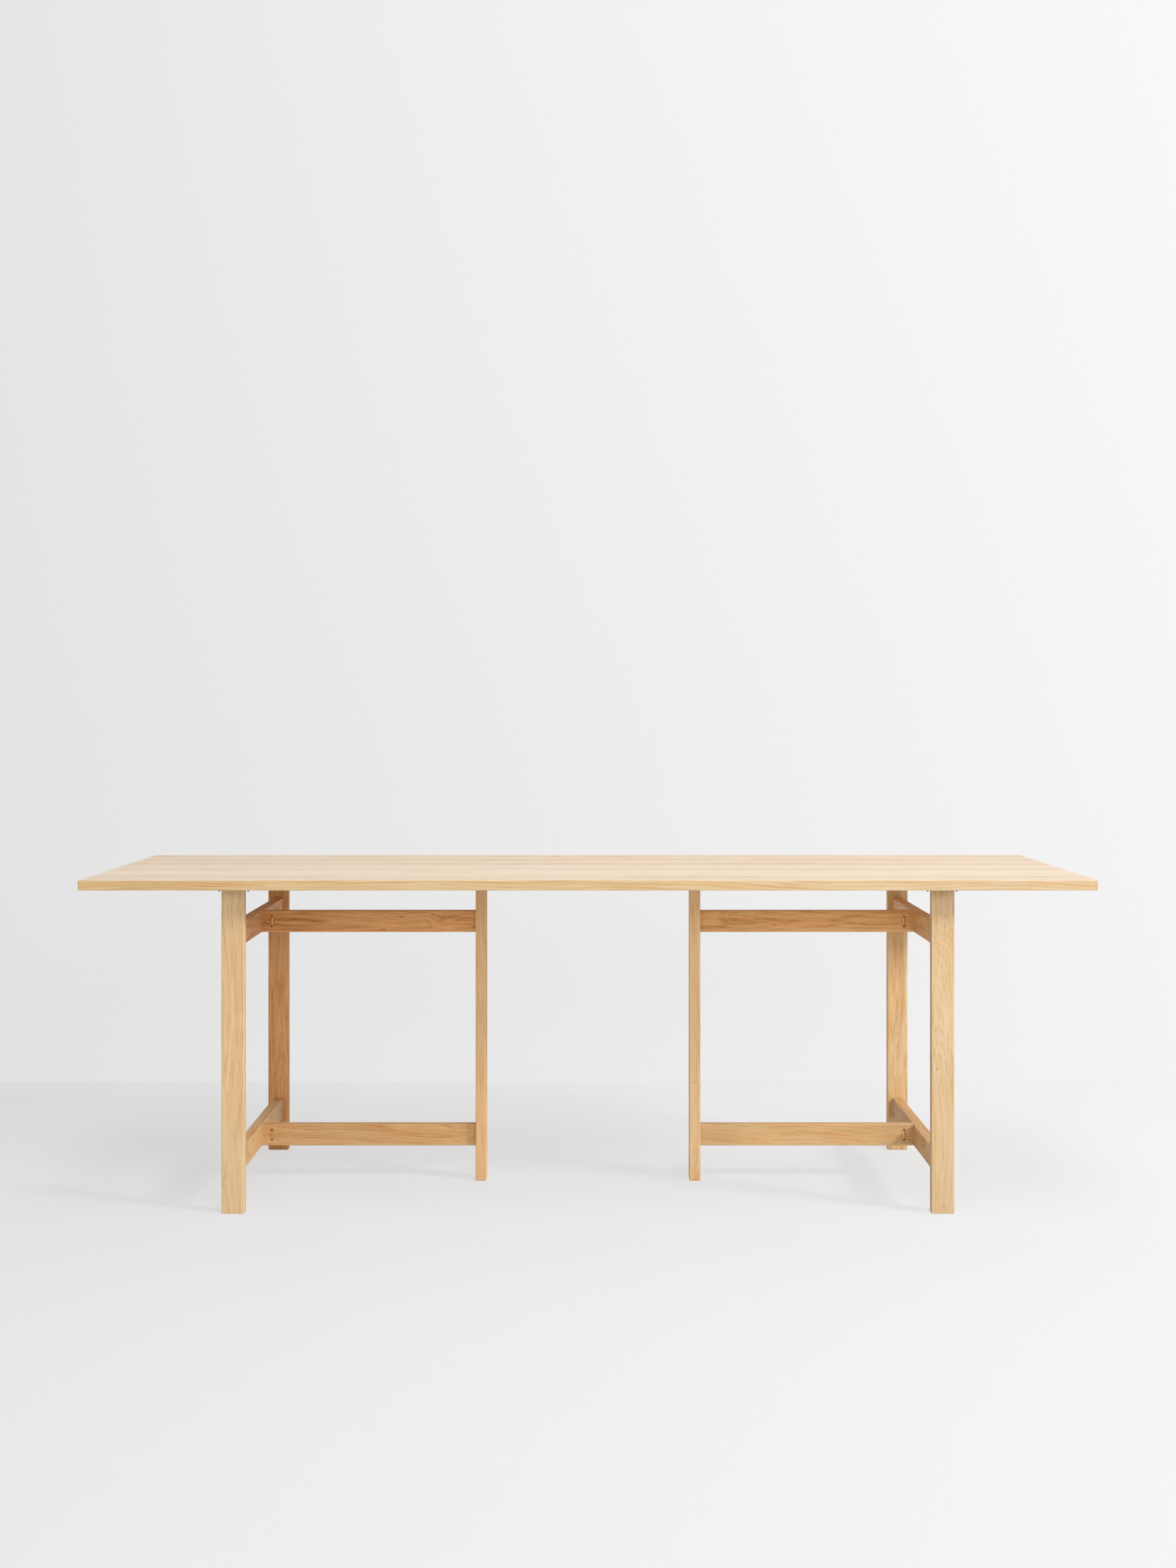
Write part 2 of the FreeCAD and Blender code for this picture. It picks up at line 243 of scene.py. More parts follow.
def buildArris():
    tree, given, made = newGroup("oakArris", "ShaderNodeTree", {"Offset": "Vector", "Half size": "Vector"},
                                 {"Rub": "Float"})
    away = addNode(tree, "ShaderNodeVectorMath", {0: given["Offset"]}, operation="ABSOLUTE")
    inset = addNode(tree, "ShaderNodeVectorMath", {0: given["Half size"], 1: away.outputs[0]},
                    operation="SUBTRACT")
    gaps = addNode(tree, "ShaderNodeSeparateXYZ", {0: inset.outputs[0]}).outputs
    nearer = addNode(tree, "ShaderNodeMath", {0: gaps["X"], 1: gaps["Y"]}, operation="MINIMUM")
    further = addNode(tree, "ShaderNodeMath", {0: gaps["X"], 1: gaps["Y"]}, operation="MAXIMUM")
    third = addNode(tree, "ShaderNodeMath", {0: further.outputs[0], 1: gaps["Z"]}, operation="MINIMUM")
    second = addNode(tree, "ShaderNodeMath", {0: nearer.outputs[0], 1: third.outputs[0]},
                     operation="MAXIMUM")
    rub = addNode(tree, "ShaderNodeMapRange",
                  {"Value": second.outputs[0], "From Min": arrisMm["start"] * mm,
                   "From Max": arrisMm["full"] * mm}, interpolation_type="SMOOTHSTEP")
    tree.links.new(rub.outputs[0], made["Rub"])
    return tree


oakFigure = buildOakFigure()
oakKnot = buildOakKnot()
oakArris = buildArris()
grainTurns = {"leg": (0, 0, 0), "cross": (90, 0, 90),  # in degrees
              "spine": (0, -90, 0), "board": (-90, -90, 0)}
oakFinish = {
    "paleShare": (1.26, 1.37, 1.56), "deepShare": (0.63, 0.37, 0.165),  # of the body tone
    "drift": ((0.38, "#fffdf4"), (0.62, "#fff3df")),  # straw to blush
    "poreDepthMm": 0.35, "poreStrength": 0.3,
    "rubShare": {"board": 0.05, "leg": 0.2, "cross": 0.2, "spine": 0.2}, "rubPolish": 0.3,
    "line": {"board": 2.0, "leg": 1.0, "cross": 1.0, "spine": 1.0},
    "edgePaintedShade": ("#f9ebcc", "#fef7ec"), "edgeFrom": (0.8, 0.3),  # painted shade on the top's edges, darker at the left and paler at the right, where the key light falls
    "roughness": (0.5, 0.62),
    "topPolish": 0.25, "topFrom": 0.9,  # the upper face is rubbed smoother by this much
    "gloss": {"board": 0.46, "leg": 0.25, "cross": 0.25, "spine": 0.25},
}


# Oak, planed, sanded and oiled: a satin sheen over soft ring lines,
# straw and tan drift and short dark pores
def oakMaterial(node, kind, cut, outline):
    material, tree = newMaterial("oiled_planed_oak_" + node)
    low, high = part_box(node)
    turn = Euler([math.radians(angle) for angle in grainTurns[kind]])
    middle = turn.to_matrix() @ ((low + high) / 2 / mm)
    place = Vector((*cut["pithMm"], cut["alongMm"])) - middle
    coords = addNode(tree, "ShaderNodeTexCoord").outputs["Object"]
    grain = addNode(tree, "ShaderNodeMapping", {"Vector": coords, "Location": place, "Rotation": turn,
                                                "Scale": (1 / mm,) * 3}).outputs[0]
    lift, dark = 0.0, 0.0
    for spotMm, reachMm, coreMm, coreDepth in cut.get("knots", ()):  # spots are in the table's own frame
        spot = turn.to_matrix() @ Vector(spotMm) + place
        knot = addNode(tree, "ShaderNodeGroup",
                       {"Grain": grain, "Place": spot, "Reach mm": reachMm, "Core mm": coreMm,
                        "Core depth": coreDepth, "Lift mm": lift, "Knot": dark}, node_tree=oakKnot)
        lift, dark = knot.outputs["Lift"], knot.outputs["Dark"]
    normal = addNode(tree, "ShaderNodeNewGeometry").outputs["Normal"]
    facing = addNode(tree, "ShaderNodeVectorMath", {0: normal, 1: turn.to_matrix()[2]},
                     operation="DOT_PRODUCT")
    square = addNode(tree, "ShaderNodeMath", {0: facing.outputs["Value"]}, operation="ABSOLUTE")
    least, most = endGrain["squareFrom"]
    end = addNode(tree, "ShaderNodeMapRange",
                  {"Value": square.outputs[0], "From Min": least, "From Max": most})
    figure = addNode(tree, "ShaderNodeGroup",
                     {"Grain": grain, "Ring mm": cut["ringMm"], "Taper": cut["taper"],
                      "Sway mm": cut["swayMm"], "Lift mm": lift, "Knot": dark, "Strength": cut["figure"],
                      "Line": oakFinish["line"][kind], "End": end.outputs[0]}, node_tree=oakFigure).outputs
    depth = figure["Depth"]
    if "strips" in cut:  # darker and paler strips across a board
        halfWide = cut["stripReachMm"]
        pithX = cut["pithMm"][0]
        across = addNode(tree, "ShaderNodeMapRange",
                         {"Value": figure["Across mm"], "From Min": pithX - halfWide,
                          "From Max": pithX + halfWide})
        strips = addNode(tree, "ShaderNodeValToRGB", {"Fac": across.outputs[0]},
                         stops=[((at + halfWide) / 2 / halfWide, (v, v, v, 1)) for at, v in cut["strips"]])
        strips.color_ramp.interpolation = "EASE"
        depth = addNode(tree, "ShaderNodeMath", {0: strips.outputs["Color"], 1: depth},
                        operation="ADD").outputs[0]
    body = linear(cut["tone"])
    pale = [min(c * s, 1) for c, s in zip(body, oakFinish["paleShare"])] + [1]
    deep = [c * s for c, s in zip(body, oakFinish["deepShare"])] + [1]
    ramp = addNode(tree, "ShaderNodeValToRGB", {"Fac": depth},
                   stops=[(0.0, pale), (1.0, deep), (0.5, body)])
    drift = addNode(tree, "ShaderNodeValToRGB", {"Fac": figure["Blush"]},
                    stops=[(at, linear(tint)) for at, tint in oakFinish["drift"]])
    tinted = addNode(tree, "ShaderNodeMix", {0: 1.0, 6: ramp.outputs["Color"], 7: drift.outputs["Color"]},
                     data_type="RGBA", blend_type="MULTIPLY").outputs[2]
    if kind == "board":  # painted shade on the top's edges: their upright faces are darker than the upper face, and paler towards the right, where the key light falls
        left, right = (linear(tint) for tint in oakFinish["edgePaintedShade"])
        along = addNode(tree, "ShaderNodeSeparateXYZ", {0: coords}).outputs["X"]
        length = addNode(tree, "ShaderNodeMapRange",
                         {"Value": along, "From Min": outline[0].x, "From Max": outline[1].x})
        paintedEdgeShade = addNode(tree, "ShaderNodeMix", {0: length.outputs[0], 6: left, 7: right}, data_type="RGBA")
        upward = addNode(tree, "ShaderNodeSeparateXYZ", {0: normal}).outputs["Z"]
        level = addNode(tree, "ShaderNodeMath", {0: upward}, operation="ABSOLUTE")
        flattest, steepest = oakFinish["edgeFrom"]
        upright = addNode(tree, "ShaderNodeMapRange",
                          {"Value": level.outputs[0], "From Min": flattest, "From Max": steepest})
        tinted = addNode(tree, "ShaderNodeMix", {0: upright.outputs[0], 6: tinted, 7: paintedEdgeShade.outputs[2]},
                         data_type="RGBA", blend_type="MULTIPLY").outputs[2]
    offset = addNode(tree, "ShaderNodeVectorMath", {0: coords, 1: (outline[0] + outline[1]) / 2},
                     operation="SUBTRACT")
    halfSize = (outline[1] - outline[0]) / 2
    arris = addNode(tree, "ShaderNodeGroup", {"Offset": offset.outputs[0], "Half size": halfSize},
                    node_tree=oakArris)
    rub = addNode(tree, "ShaderNodeMath", {0: arris.outputs["Rub"], 1: oakFinish["rubShare"][kind]},
                  operation="MULTIPLY")
    colour = addNode(tree, "ShaderNodeMix", {0: rub.outputs[0], 6: tinted, 7: pale}, data_type="RGBA")
    smooth, coarse = oakFinish["roughness"]
    rough = addNode(tree, "ShaderNodeMapRange", {"Value": depth, "To Min": smooth, "To Max": coarse})
    polished = addNode(tree, "ShaderNodeMath",
                       {0: rub.outputs[0], 1: -oakFinish["rubPolish"], 2: rough.outputs[0]},
                       operation="MULTIPLY_ADD")
    if kind == "board":
        upper = addNode(tree, "ShaderNodeMath", {0: upward, 1: oakFinish["topFrom"]},
                        operation="GREATER_THAN")
        polished = addNode(tree, "ShaderNodeMath",
                           {0: upper.outputs[0], 1: -oakFinish["topPolish"], 2: polished.outputs[0]},
                           operation="MULTIPLY_ADD")
    bump = addNode(tree, "ShaderNodeBump", {"Height": figure["Pore"], "Strength": oakFinish["poreStrength"],
                                            "Distance": oakFinish["poreDepthMm"] * mm}, invert=True)
    shader = addNode(tree, "ShaderNodeBsdfPrincipled",
                     {"Base Color": colour.outputs[2], "IOR": 1.5, "Roughness": polished.outputs[0],
                      "Specular IOR Level": oakFinish["gloss"][kind], "Normal": bump.outputs[0]})
    addNode(tree, "ShaderNodeOutputMaterial", {"Surface": shader.outputs[0]})
    return material


# Each timber's cut: where its middle lies from the pith, how its rings run, its tone and its knots.
# Each tone is partly the timber's own colour and partly painted light and shade: timbers in the top's
# shade, the left rear leg and the upper rails most, are painted darker and more orange, the inner legs
# paler, and the brightly lit right front leg less saturated.
# A knot is its spot, the reach of the bent rings, and the size and depth of its dark core.
# The boards' tones hold painted light: boards 2 to 5, seen only from above, are painted paler than board 1
# to stand in for the light and sheen on the upper face.
topBoards = {
    "top_board_1": {"pithMm": (-26, 84), "alongMm": 0, "ringMm": 4.6, "taper": 0.006, "swayMm": 26,
                    "figure": 0.6, "tone": "#d4c2aa",
                    "strips": [(-80, 0.06), (80, 0.00), (-50, 0.00), (-18, 0.08), (30, 0.08), (62, 0.00)]},
    "top_board_2": {"pithMm": (18, 92), "alongMm": 6000, "ringMm": 4.4, "taper": 0.006, "swayMm": 36,
                    "figure": 0.6, "tone": "#dbc9b2",
                    "strips": [(-80, 0.04), (80, 0.17), (-40, 0.03), (0, 0.00), (50, 0.11)]},
    "top_board_3": {"pithMm": (-12, -88), "alongMm": 13000, "ringMm": 4.5, "taper": 0.006, "swayMm": 36,
                    "figure": 0.6, "tone": "#dbc9b2",
                    "strips": [(-80, 0.16), (80, 0.20), (-20, 0.06), (15, 0.04)]},
    "top_board_4": {"pithMm": (30, 86), "alongMm": 21000, "ringMm": 4.3, "taper": 0.006, "swayMm": 36,
                    "figure": 0.6, "tone": "#dbc9b2",
                    "strips": [(-80, 0.15), (80, 0.22), (-50, 0.22), (0, 0.08)]},
    "top_board_5": {"pithMm": (-34, -94), "alongMm": 30000, "ringMm": 4.5, "taper": 0.006, "swayMm": 36,
                    "figure": 0.6, "tone": "#dbc9b2",
                    "strips": [(-80, 0.20), (80, 0.17), (-10, 0.08), (50, 0.22)]},
}
topBox = wholeBox(*topBoards)
boardHalfMm = (topBox[1].y - topBox[0].y) / len(topBoards) / 2 / mm
for node, cut in topBoards.items():
    dress(node, oakMaterial(node, "board", {**cut, "stripReachMm": boardHalfMm}, topBox))

legs = {
    "left_front_leg": {"pithMm": (66, 52), "alongMm": 41000, "ringMm": 4.6, "taper": 0.01, "swayMm": 90,
                       "figure": 0.9, "tone": "#d8bc98"},
    "right_front_leg": {"pithMm": (5, 46), "alongMm": 47000, "ringMm": 3.4, "taper": 0.02, "swayMm": 70,
                        "figure": 0.9, "tone": "#d1b897",
                        # The first knot is a broad soft dark patch at the head: painted shade under the
                        # top, with rings bent round it. The second is a small real knot.
                        "knots": [((775, -345, 690), 66, 75, 0.05), ((761.8, -345, 314.7), 16, 3, 0.4)]},
    "left_rear_leg": {"pithMm": (80, 26), "alongMm": 53000, "ringMm": 4.4, "taper": 0.01, "swayMm": 60,
                      "figure": 2.05, "tone": "#daa572",
                      "knots": [((-781.6, 320, 192), 7, 3, 0.4)]},
    "right_rear_leg": {"pithMm": (78, 34), "alongMm": 59000, "ringMm": 4.4, "taper": 0.01, "swayMm": 60,
                       "figure": 1.48, "tone": "#e2c39a"},
    "left_inner_leg": {"pithMm": (48, 50), "alongMm": 66000, "ringMm": 4.4, "taper": 0.01, "swayMm": 60,
                       "figure": 0.9, "tone": "#e0bc91"},
    "right_inner_leg": {"pithMm": (-52, 46), "alongMm": 73000, "ringMm": 4.6, "taper": 0.01, "swayMm": 60,
                        "figure": 0.9, "tone": "#ebcaa1",
                        "knots": [((250, -25, 230), 8, 2.6, 0.4), ((252, -25, 4), 5, 2, 0.5)]},
}
for node, cut in legs.items():
    dress(node, oakMaterial(node, "leg", cut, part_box(node)))

crossRails = {
    "left_upper_cross_rail": {"pithMm": (14, 52), "alongMm": 81000, "ringMm": 4.5, "taper": 0.02,
                              "swayMm": 70, "figure": 1.6, "tone": "#d8a575"},
    "left_lower_cross_rail": {"pithMm": (-20, 48), "alongMm": 88000, "ringMm": 4.4, "taper": 0.02,
                              "swayMm": 70, "figure": 1.3, "tone": "#d4ad7f"},
    "right_upper_cross_rail": {"pithMm": (24, -50), "alongMm": 95000, "ringMm": 4.3, "taper": 0.02,
                               "swayMm": 70, "figure": 1.6, "tone": "#e0b17f"},
    "right_lower_cross_rail": {"pithMm": (-8, -44), "alongMm": 103000, "ringMm": 4.5, "taper": 0.02,
                               "swayMm": 70, "figure": 1.3, "tone": "#d7b185"},
}
for node, cut in crossRails.items():
    dress(node, oakMaterial(node, "cross", cut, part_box(node)))

spineRails = {
    "left_upper_spine_rail": {"pithMm": (-6, 42), "alongMm": 111000, "ringMm": 4.4, "taper": 0.02,
                              "swayMm": 70, "figure": 2.2, "tone": "#d8a16c",
                              "knots": [((-340.6, -12.5, 608), 30, 7, 0.3),
                                        ((-438, -12.5, 616.5), 18, 5, 0.3),
                                        ((-478, -12.5, 590), 8, 2.4, 0.4)]},
    "left_lower_spine_rail": {"pithMm": (22, 58), "alongMm": 119000, "ringMm": 4.6, "taper": 0.01,
                              "swayMm": 80, "figure": 1.0, "tone": "#d2ab7d"},
    "right_upper_spine_rail": {"pithMm": (6, 40), "alongMm": 127000, "ringMm": 4.6, "taper": 0.02,
                               "swayMm": 70, "figure": 1.8, "tone": "#e0ae78",
                               "knots": [((345, -12.5, 616), 26, 18, 0.1),
                                         ((572, -12.5, 596), 8, 2.2, 0.4)]},
    "right_lower_spine_rail": {"pithMm": (68, 54), "alongMm": 135000, "ringMm": 4.3, "taper": 0.01,
                               "swayMm": 60, "figure": 1.05, "tone": "#d7b589"},
}
for node, cut in spineRails.items():
    dress(node, oakMaterial(node, "spine", cut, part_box(node)))
print("oak timbers dressed:", len(topBoards) + len(legs) + len(crossRails) + len(spineRails))

# Beech, planed or turned and left bare: even pinkish wood with short dark ray flecks along the grain
beech = {
    "tones": ((0.3, "#e6c4a0"), (0.7, "#d8b08a")), "fleck": "#9c6b46", "fleckFrom": (0.62, 0.72),
    "fibreMm": (1.2, 40), "fibreDepthMm": 0.2, "fibreStrength": 0.3, "roughness": (0.5, 0.7),
    "fleckMm": (0.7, 3.5),  # real flecks are half as wide, drawn coarser so that they show
}


def beechMaterial(name, lengthAxis):
    material, tree = newMaterial(name)
    coords = addNode(tree, "ShaderNodeTexCoord").outputs["Object"]
    looks = {}
    for look in ("fibreMm", "fleckMm"):
        across, along = beech[look]
        scale = [1 / mm / (along if axis == lengthAxis else across) for axis in range(3)]
        spread = addNode(tree, "ShaderNodeMapping", {"Vector": coords, "Scale": scale})
        looks[look] = addNode(tree, "ShaderNodeTexNoise", {"Vector": spread.outputs[0], "Scale": 1.0,
                                                           "Detail": 2.0}).outputs["Fac"]
    body = addNode(tree, "ShaderNodeValToRGB", {"Fac": looks["fibreMm"]},
                   stops=[(at, linear(tone)) for at, tone in beech["tones"]])
    least, most = beech["fleckFrom"]
    fleck = addNode(tree, "ShaderNodeMapRange",
                    {"Value": looks["fleckMm"], "From Min": least, "From Max": most})
    colour = addNode(tree, "ShaderNodeMix",
                     {0: fleck.outputs[0], 6: body.outputs["Color"], 7: linear(beech["fleck"])},
                     data_type="RGBA")
    smooth, coarse = beech["roughness"]
    rough = addNode(tree, "ShaderNodeMapRange",
                    {"Value": looks["fibreMm"], "To Min": smooth, "To Max": coarse})
    bump = addNode(tree, "ShaderNodeBump", {"Height": looks["fibreMm"], "Strength": beech["fibreStrength"],
                                            "Distance": beech["fibreDepthMm"] * mm})
    shader = addNode(tree, "ShaderNodeBsdfPrincipled",
                     {"Base Color": colour.outputs[2], "IOR": 1.5, "Roughness": rough.outputs[0],
                      "Normal": bump.outputs[0]})
    addNode(tree, "ShaderNodeOutputMaterial", {"Surface": shader.outputs[0]})
    return material


beechParts = {"cross_rail_tenons": beechMaterial("planed_beech_cross_rail_tenon", 1),
              "spine_rail_tenons": beechMaterial("planed_beech_spine_rail_tenon", 0),
              "alignment_dowels": beechMaterial("turned_beech_dowel", 0)}
for part, material in beechParts.items():
    for side in ("left_", "right_"):
        dress(side + part, material)
print("beech tenons and dowels dressed")

# Metals: worn is the tone on rubbed patches, and lineMm the size of the tool's lines along X, Y and Z
metals = {
    # The brass tones are painted paler than usual brass, standing in for the lamp light that its polished
    # faces don't mirror.
    "drawn_brass": {"body": "#fad488", "worn": "#fde29c", "patchMm": 4.0, "lineMm": (0.5, 0.5, 14),
                    "roughness": (0.42, 0.56)},
    "blackened_steel": {"body": "#262422", "worn": "#45413d", "patchMm": 2.5, "lineMm": (5, 0.35, 0.35),
                        "roughness": (0.34, 0.5)},
}
metalWear = {"wornFrom": (0.35, 0.65), "smoothFrom": (0.3, 0.7), "lineStrength": 0.2, "lineDepthMm": 0.05}


# Drawn brass shows a warm soft mirror with lines along the bar,
# blackened steel a dull dark sheen with rubbed patches
def metalMaterial(name):
    metal = metals[name]
    material, tree = newMaterial(name)
    coords = addNode(tree, "ShaderNodeTexCoord").outputs["Object"]
    patch = addNode(tree, "ShaderNodeTexNoise",
                    {"Vector": coords, "Scale": 1 / mm / metal["patchMm"], "Detail": 3.0}).outputs["Fac"]
    scale = [1 / mm / size for size in metal["lineMm"]]
    stretch = addNode(tree, "ShaderNodeMapping", {"Vector": coords, "Scale": scale})
    line = addNode(tree, "ShaderNodeTexNoise", {"Vector": stretch.outputs[0], "Scale": 1.0, "Detail": 1.0})
    tones = (linear(metal["body"]), linear(metal["worn"]))
    colour = addNode(tree, "ShaderNodeValToRGB", {"Fac": patch},
                     stops=list(zip(metalWear["wornFrom"], tones)))
    smooth, coarse = metal["roughness"]
    least, most = metalWear["smoothFrom"]
    rough = addNode(tree, "ShaderNodeMapRange", {"Value": patch, "From Min": least, "From Max": most,
                                                 "To Min": coarse, "To Max": smooth})
    bump = addNode(tree, "ShaderNodeBump",
                   {"Height": line.outputs["Fac"], "Strength": metalWear["lineStrength"],
                    "Distance": metalWear["lineDepthMm"] * mm})
    shader = addNode(tree, "ShaderNodeBsdfPrincipled",
                     {"Base Color": colour.outputs["Color"], "Metallic": 1.0, "Roughness": rough.outputs[0],
                      "Normal": bump.outputs[0]})
    addNode(tree, "ShaderNodeOutputMaterial", {"Surface": shader.outputs[0]})
    return material


brass, steel = metalMaterial("drawn_brass"), metalMaterial("blackened_steel")

# Turned parts stand on rings of points up the Z axis; a row is its radius, height and number of flats
ringSteps = 48
sharpDegrees = 32


def turnedPart(name, rows, spreadMm=0.0, hollow=False, turn=None):
    build = bmesh.new()
    rings = []
    for radius, height, flats in rows:
        ring = []
        for step in range(ringSteps):
            angle = 2 * math.pi * (step + (0.5 if spreadMm else 0)) / ringSteps
            reach = radius
            if flats:
                reach = radius / math.cos(angle % (2 * math.pi / flats) - math.pi / flats)
            spread = math.copysign(spreadMm, math.sin(angle)) if spreadMm else 0.0
            spot = Vector((reach * math.cos(angle), reach * math.sin(angle) + spread, height))
            ring.append(build.verts.new(spot * mm))
        rings.append(ring)
    if not hollow:
        build.faces.new(rings[0])
        build.faces.new(rings[-1])
    for lower, upper in zip(rings, rings[1:] + (rings[:1] if hollow else [])):
        for step in range(ringSteps):
            after = (step + 1) % ringSteps
            build.faces.new((lower[step], lower[after], upper[after], upper[step]))
    bmesh.ops.recalc_face_normals(build, faces=build.faces)
    mesh = bpy.data.meshes.new(name)
    build.to_mesh(mesh)
    build.free()
    if turn:
        mesh.transform(turn)
    part = bpy.data.objects.new(name, mesh)
    scene.collection.objects.link(part)
    return part


# One part at the lower and the upper joint of both trestles, drilled along X where Bore is not nil
def buildJointSet():
    drillLengthM = 0.05
    tree, given, made = newGroup(
        "spineJointSet", "GeometryNodeTree",
        {"Part": "Object", "Finish": "Material", "Reach": "Float", "Lower level": "Float",
         "Upper level": "Float", "Bore": "Float"}, {"Geometry": "Geometry"})
    part = addNode(tree, "GeometryNodeObjectInfo", {"Object": given["Part"]}).outputs["Geometry"]
    drill = addNode(tree, "GeometryNodeMeshCylinder",
                    {"Vertices": ringSteps, "Radius": given["Bore"], "Depth": drillLengthM})
    lying = addNode(tree, "GeometryNodeTransform",
                    {"Geometry": drill.outputs["Mesh"], "Rotation": (0, math.pi / 2, 0)})
    drilled = addNode(tree, "GeometryNodeMeshBoolean", {"Mesh 1": part, "Mesh 2": lying.outputs[0]},
                      operation="DIFFERENCE")
    wanted = addNode(tree, "FunctionNodeCompare", {0: given["Bore"], 1: 0.0}, operation="GREATER_THAN")
    chosen = addNode(tree, "GeometryNodeSwitch",
                     {"Switch": wanted.outputs[0], "False": part, "True": drilled.outputs[0]},
                     input_type="GEOMETRY")
    ends = [addNode(tree, "ShaderNodeCombineXYZ", {"X": given["Reach"], "Z": given[level]}).outputs[0]
            for level in ("Lower level", "Upper level")]
    line = addNode(tree, "GeometryNodeMeshLine",
                   {"Count": 2, "Start Location": ends[0], "Offset": ends[1]}, mode="END_POINTS")
    right = addNode(tree, "GeometryNodeInstanceOnPoints",
                    {"Points": line.outputs[0], "Instance": chosen.outputs[0]})
    left = addNode(tree, "GeometryNodeTransform",
                   {"Geometry": right.outputs[0], "Rotation": (0, 0, math.pi)})
    both = addNode(tree, "GeometryNodeJoinGeometry", {"Geometry": right.outputs[0]})
    tree.links.new(left.outputs[0], both.inputs["Geometry"])
    solid = addNode(tree, "GeometryNodeRealizeInstances", {"Geometry": both.outputs[0]})
    done = addNode(tree, "GeometryNodeSetMaterial",
                   {"Geometry": solid.outputs[0], "Material": given["Finish"]})
    tree.links.new(done.outputs[0], made["Geometry"])
    return tree


# One pin on each side of every end leg's head
def buildPinSet():
    tree, given, made = newGroup(
        "legPinSet", "GeometryNodeTree",
        {"Part": "Object", "Finish": "Material", "Leg span X": "Float", "Leg span Y": "Float",
         "Pin gap": "Float", "Level": "Float"}, {"Geometry": "Geometry"})
    part = addNode(tree, "GeometryNodeObjectInfo", {"Object": given["Part"]}).outputs["Geometry"]
    heads = addNode(tree, "GeometryNodeMeshGrid",
                    {"Size X": given["Leg span X"], "Size Y": given["Leg span Y"],
                     "Vertices X": 2, "Vertices Y": 2})
    ends = []
    for side in (-0.5, 0.5):
        aside = addNode(tree, "ShaderNodeMath", {0: given["Pin gap"], 1: side}, operation="MULTIPLY")
        end = addNode(tree, "ShaderNodeCombineXYZ", {"X": aside.outputs[0], "Z": given["Level"]})
        ends.append(end.outputs[0])
    pair = addNode(tree, "GeometryNodeMeshLine",
                   {"Count": 2, "Start Location": ends[0], "Offset": ends[1]}, mode="END_POINTS")
    pairs = addNode(tree, "GeometryNodeInstanceOnPoints",
                    {"Points": heads.outputs["Mesh"], "Instance": pair.outputs[0]})
    spots = addNode(tree, "GeometryNodeRealizeInstances", {"Geometry": pairs.outputs[0]})
    pins = addNode(tree, "GeometryNodeInstanceOnPoints", {"Points": spots.outputs[0], "Instance": part})
    solid = addNode(tree, "GeometryNodeRealizeInstances", {"Geometry": pins.outputs[0]})
    done = addNode(tree, "GeometryNodeSetMaterial",
                   {"Geometry": solid.outputs[0], "Material": given["Finish"]})
    tree.links.new(done.outputs[0], made["Geometry"])
    return tree


def makeSet(name, tree, sizes, body, nodes):
    piece = bpy.data.objects.new(name, bpy.data.meshes.new(name))
    scene.collection.objects.link(piece)
    modifier = piece.modifiers.new("parts", "NODES")
    modifier.node_group = tree
    for item in tree.interface.items_tree:
        if item.in_out == "INPUT":
            modifier[item.identifier] = sizes[item.name]
    ready = piece.evaluated_get(bpy.context.evaluated_depsgraph_get())
    mesh = bpy.data.meshes.new_from_object(ready)
    piece.modifiers.remove(modifier)
    piece.data = mesh
    mesh.shade_smooth()
    mesh.set_sharp_from_angle(angle=math.radians(sharpDegrees))
    bpy.data.objects.remove(sizes["Part"])
    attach(piece, body)
    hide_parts(*nodes)
    print(name, "made,", len(mesh.polygons), "faces")


roundDegrees = (0, 22.5, 45, 67.5, 90)


def roundedRows(radius, height, rounding, direction):  # a quarter round that ends at this height
    rows = []
    for angle in roundDegrees:
        across = 1 - math.cos(math.radians(angle))
        below = 1 - math.sin(math.radians(angle))
        rows.append((radius - rounding * across, height - direction * rounding * below, 0))
    return rows


# Metal parts: their sizes are in millimetres, and their places come from the frame
jointTree, pinTree = buildJointSet(), buildPinSet()
alongX = Matrix.Rotation(math.pi / 2, 4, "Y")
railBoxes = [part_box("right_lower_spine_rail"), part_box("right_upper_spine_rail")]
levels = [(low.z + high.z) / 2 for low, high in railBoxes]
jointLevels = {"Lower level": levels[0], "Upper level": levels[1]}

nutBar = {"chamfer": 0.6, "boreRadius": 2.55}
low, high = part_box("right_nut_bars")
noseRadius, halfDeep = (high.x - low.x) / 2 / mm, (high.y - low.y) / 2 / mm
barHalf = (high.z - levels[1]) / mm
chamfer = nutBar["chamfer"]
bar = turnedPart("bar", [(noseRadius - chamfer, -barHalf, 0), (noseRadius, chamfer - barHalf, 0),
                         (noseRadius, barHalf - chamfer, 0), (noseRadius - chamfer, barHalf, 0)],
                 spreadMm=halfDeep - noseRadius)
makeSet("brass_nut_bars", jointTree, {"Part": bar, "Finish": brass, "Reach": (low.x + high.x) / 2,
                                      "Bore": nutBar["boreRadius"] * mm, **jointLevels},
        "trestles", ["left_nut_bars", "right_nut_bars"])

